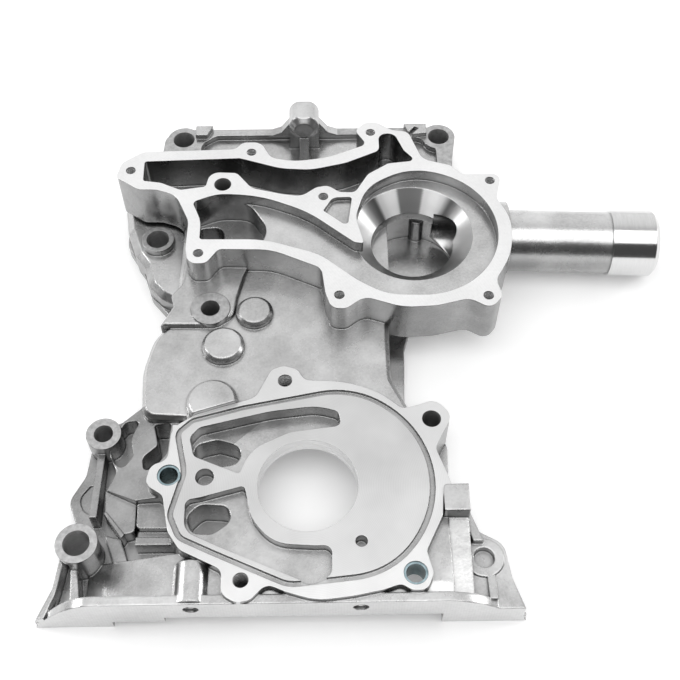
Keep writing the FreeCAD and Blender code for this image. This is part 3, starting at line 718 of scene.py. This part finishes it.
def windThread(name, mount, size):
    form = threadForm
    radius = mount["dims"]["r_mm"] * mm
    centre = Vector(mount["pos_m"])
    axis = Vector(mount["axis"])
    turns = int(size["depth"] / size["pitch"])
    wall = radius + form["intoWall"]
    crest = radius - size["tooth"]
    flank = size["pitch"] * form["flankShare"]
    start = form["start"]
    corners = [(wall, start), (crest, start - flank), (wall, start - 2 * flank)]
    bm = bmesh.new()
    verts = [bm.verts.new((r, 0, z)) for r, z in corners]
    edges = [bm.edges.new((verts[i], verts[i + 1])) for i in range(2)]
    drop = Vector((0, 0, -size["pitch"] / form["steps"]))
    bmesh.ops.spin(
        bm, geom=verts + edges, cent=(0, 0, 0), axis=(0, 0, 1), dvec=drop, angle=math.tau * turns,
        steps=form["steps"] * turns, use_merge=False, use_duplicate=False,
    )
    turn = Vector((0, 0, 1)).rotation_difference(axis).to_matrix().to_4x4()
    bmesh.ops.transform(bm, matrix=Matrix.Translation(centre) @ turn, verts=bm.verts)
    outward = 0.0
    for face in bm.faces:
        face.smooth = True
        offset = face.calc_center_median() - centre
        outward += face.normal.dot(offset - axis * offset.dot(axis))
    # The tooth is seen from inside the hole
    if outward > 0:
        bmesh.ops.reverse_faces(bm, faces=bm.faces)
    mesh = meshFrom(bm, name)
    mesh.materials.append(looks["thread"])
    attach(placed(name, mesh), "root")


for family, size in threadSizes.items():
    for k in range(1, size["count"] + 1):
        mountName = family + "_" + str(k)
        windThread(mountName + "_turns", mounts[mountName], size)
print("threads wound")


studio = {
    "floorHalf": 3.0,
    "floorGap": 0.2 * mm,
    "floorColour": (0.93, 0.93, 0.93, 1.0),
    "floorGlow": 0.22,
    "floorRoughness": 0.9,
    "skyAxis": (0.0, 0.95, 0.30),
    "skyStops": [
        (0.0, grey(0.07)), (0.34, grey(0.08)), (0.5, grey(0.24)),
        (0.66, grey(0.46)), (0.84, grey(0.90)), (1.0, grey(1.05)),
    ],
    "skyStrength": 1.0,
    "lights": {
        "topSoftbox": {
            "place": (0.10, -0.26, 1.25), "aim": (0.10, 0.10, 0.0), "size": (2.2, 1.08), "power": 14.2,
        },
        "leftSoftbox": {
            "place": (-1.1, 0.25, 0.55), "aim": (0.0, 0.08, 0.0), "size": (0.35, 0.35), "power": 3.0,
        },
        "rightSoftbox": {
            "place": (1.0, 0.3, 0.45), "aim": (0.0, 0.08, 0.0), "size": (0.3, 0.3), "power": 1.6,
        },
    },
}


def layFloor():
    bm = bmesh.new()
    bmesh.ops.create_grid(bm, x_segments=1, y_segments=1, size=studio["floorHalf"])
    below = Vector((0, 0, coverPlaces["rearFace"] - studio["floorGap"]))
    bmesh.ops.translate(bm, verts=bm.verts, vec=below)
    mesh = meshFrom(bm, "studioFloor")
    pale = Finish("paleFloor", 0.0)
    pale.set("Base Color", studio["floorColour"])
    pale.set("Roughness", studio["floorRoughness"])
    pale.set("Emission Color", studio["floorColour"])
    pale.set("Emission Strength", studio["floorGlow"])
    mesh.materials.append(pale.material)
    placed("studioFloor", mesh)


def hangLights():
    for name, light in studio["lights"].items():
        lamp = bpy.data.lights.new(name, "AREA")
        lamp.shape = "RECTANGLE"
        lamp.size, lamp.size_y = light["size"]
        lamp.energy = light["power"]
        softbox = placed(name, lamp)
        softbox.location = light["place"]
        ahead = (Vector(light["aim"]) - Vector(light["place"])).normalized()
        softbox.rotation_euler = ahead.to_track_quat("-Z", "Y").to_euler()


def paintSky():
    # The sky brightens towards the back, as the room behind the part in the picture does
    world = bpy.data.worlds.new("studioWorld")
    world.use_nodes = True
    nodes, links = world.node_tree.nodes, world.node_tree.links
    direction = nodes.new("ShaderNodeTexCoord")
    along = nodes.new("ShaderNodeVectorMath")
    along.operation = "DOT_PRODUCT"
    along.inputs[1].default_value = studio["skyAxis"]
    height = nodes.new("ShaderNodeMapRange")
    height.inputs["From Min"].default_value = -1.0
    ramp = nodes.new("ShaderNodeValToRGB")
    fillRamp(ramp.color_ramp, studio["skyStops"])
    links.new(direction.outputs["Generated"], along.inputs[0])
    links.new(along.outputs["Value"], height.inputs["Value"])
    links.new(height.outputs[0], ramp.inputs["Fac"])
    links.new(ramp.outputs["Color"], nodes["Background"].inputs["Color"])
    nodes["Background"].inputs["Strength"].default_value = studio["skyStrength"]
    bpy.context.scene.world = world
    bpy.context.scene.view_settings.view_transform = "Standard"


layFloor()
hangLights()
paintSky()
print("studio set")


# Camera found from the round holes' ellipses in the picture
photoCamera = {
    "focalPixels": 1060.0,
    "imageWidth": 680,
    "sensorWidth": 36.0,
    "nearest": 0.01,
    "elevation": math.radians(56.0),
    "turn": math.radians(-0.9),
    "place": (0.011035, -0.210124, 0.425826),
}


def setCamera():
    p = photoCamera
    data = bpy.data.cameras.new("photoCamera")
    data.sensor_width = p["sensorWidth"]
    data.lens = p["focalPixels"] / p["imageWidth"] * data.sensor_width
    data.clip_start = p["nearest"]
    right = Vector((math.cos(p["turn"]), math.sin(p["turn"]), 0))
    level = math.cos(p["elevation"])
    back = Vector((math.sin(p["turn"]) * level, -math.cos(p["turn"]) * level, math.sin(p["elevation"])))
    up = back.cross(right)
    turn = Matrix((right, up, back)).transposed().to_4x4()
    camera = placed("photoCamera", data)
    camera.matrix_world = Matrix.Translation(Vector(p["place"])) @ turn
    bpy.context.scene.camera = camera


setCamera()
print("camera set")
